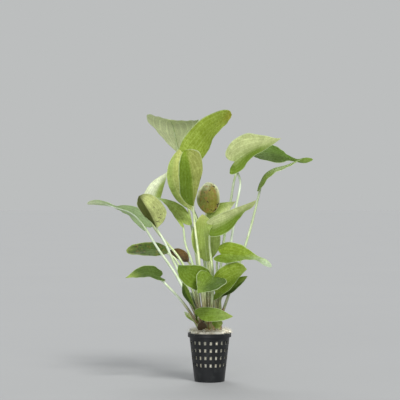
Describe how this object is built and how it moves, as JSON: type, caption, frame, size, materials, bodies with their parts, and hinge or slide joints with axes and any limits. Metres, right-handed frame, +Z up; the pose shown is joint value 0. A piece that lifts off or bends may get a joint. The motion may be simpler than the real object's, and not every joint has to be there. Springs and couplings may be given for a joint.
{
  "type": "echinodorus plant in a net pot",
  "caption": "Bog plant: a rosette of heart-shaped leaves on long stalks, rooted in a mineral wool plug in a small slotted net pot that stands on its flat base.",
  "frame": {"origin": "centre of the flat underside of the net pot", "axes": "+Z up along the pot's axis, -Y towards the picture's viewer, +X to the viewer's right"},
  "size_m": [0.2855, 0.1321, 0.3366],
  "materials": {
    "leaf_pale": "satin, pale yellow-green leaf with fine veins",
    "leaf_bright": "satin, bright yellow-green leaf with fine veins",
    "leaf_green": "satin, mid-green leaf with fine veins",
    "leaf_deep": "satin, dull dark green leaf with fine veins",
    "leaf_old": "dry, brown and olive leaf with dark spots and a pale rim",
    "leaf_speckled": "dull olive leaf with brown speckles",
    "stalk": "smooth, pale green to whitish stalk",
    "crown": "fibrous, pale rootstock with the bases of old stalks",
    "wool": "loose matted mineral wool, cream with green stains",
    "pot": "moulded matte black plastic"
  },
  "bodies": {
    "root": {"net_pot": "pot", "rock_wool": "wool", "crown": "crown", "leaf_blade_01": "leaf_pale", "leaf_stalk_01": "stalk", "leaf_blade_02": "leaf_bright", "leaf_stalk_02": "stalk", "leaf_blade_03": "leaf_green", "leaf_stalk_03": "stalk", "leaf_blade_04": "leaf_bright", "leaf_stalk_04": "stalk", "leaf_blade_05": "leaf_pale", "leaf_stalk_05": "stalk", "leaf_blade_06": "leaf_deep", "leaf_stalk_06": "stalk", "leaf_blade_07": "leaf_green", "leaf_stalk_07": "stalk", "leaf_blade_08": "leaf_pale", "leaf_stalk_08": "stalk", "leaf_blade_09": "leaf_pale", "leaf_stalk_09": "stalk", "leaf_blade_10": "leaf_old", "leaf_stalk_10": "stalk", "leaf_blade_11": "leaf_pale", "leaf_stalk_11": "stalk", "leaf_blade_12": "leaf_bright", "leaf_stalk_12": "stalk", "leaf_blade_13": "leaf_green", "leaf_stalk_13": "stalk", "leaf_blade_14": "leaf_green", "leaf_stalk_14": "stalk", "leaf_blade_15": "leaf_green", "leaf_stalk_15": "stalk", "leaf_blade_16": "leaf_deep", "leaf_stalk_16": "stalk", "leaf_blade_17": "leaf_bright", "leaf_stalk_17": "stalk", "leaf_blade_18": "leaf_bright", "leaf_stalk_18": "stalk", "leaf_blade_19": "leaf_old", "leaf_stalk_19": "stalk", "leaf_blade_20": "leaf_pale", "leaf_stalk_20": "stalk", "leaf_blade_21": "leaf_pale", "leaf_stalk_21": "stalk", "leaf_blade_22": "leaf_pale", "leaf_stalk_22": "stalk", "leaf_blade_23": "leaf_deep", "leaf_stalk_23": "stalk", "leaf_blade_24": "leaf_old", "leaf_stalk_24": "stalk", "leaf_blade_25": "leaf_speckled", "leaf_stalk_25": "stalk", "leaf_blade_26": "leaf_green", "leaf_stalk_26": "stalk", "young_leaf_01": "leaf_pale", "young_leaf_02": "leaf_pale", "young_leaf_03": "leaf_pale", "young_leaf_04": "leaf_pale"}
  },
  "joints": []
}
